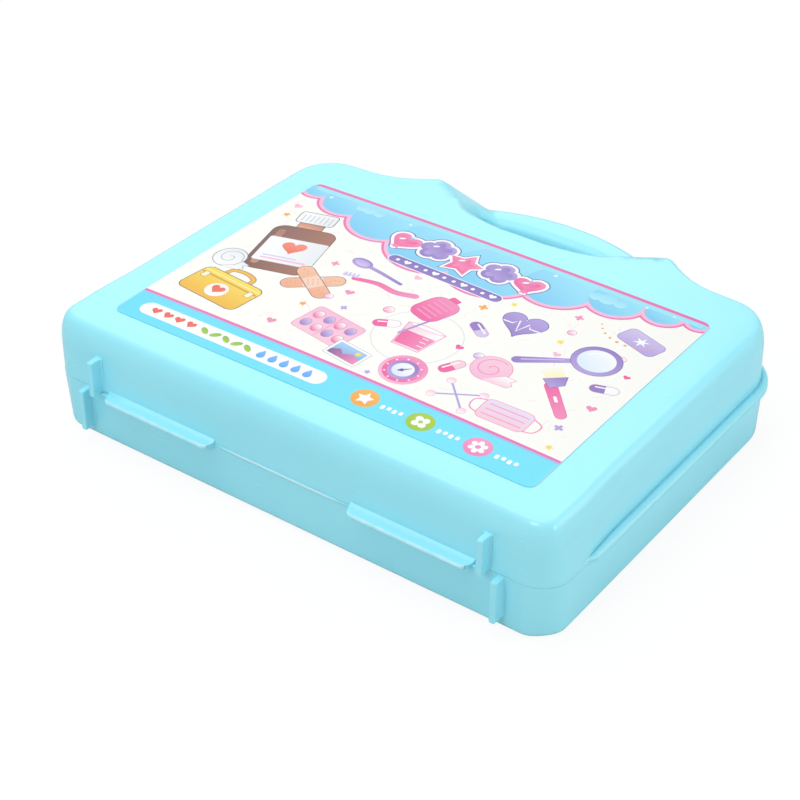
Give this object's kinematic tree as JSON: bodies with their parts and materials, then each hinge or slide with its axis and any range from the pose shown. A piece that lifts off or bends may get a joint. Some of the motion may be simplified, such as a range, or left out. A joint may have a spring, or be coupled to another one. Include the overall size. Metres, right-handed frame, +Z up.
{
  "type": "toy doctor case",
  "caption": "Flat two-shell plastic toy case with rounded corners, a finger lip, a moulded arched handle split along the seam, living hinges and a printed label on the lid.",
  "frame": {"origin": "centre of the case body's footprint, on the table", "axes": "+X along the hinge, +Y from the hinge to the handle, +Z up through the label"},
  "size_m": [0.2844, 0.2531, 0.0637],
  "materials": {
    "shell_plastic": "satin",
    "label_print": "satin"
  },
  "bodies": {
    "base": {"base_shell": "shell_plastic", "hinge_web_left": "shell_plastic", "hinge_web_right": "shell_plastic"},
    "lid": {"lid_shell": "shell_plastic", "label_sheet": "label_print"}
  },
  "joints": [
    {"name": "lid_hinge", "type": "hinge", "parent": "base", "child": "lid", "pos_m": [0, -0.109, 0.0286], "axis": [1, 0, 0], "range_deg": [0, 167], "deforming": ["hinge_web_left", "hinge_web_right"]}
  ]
}
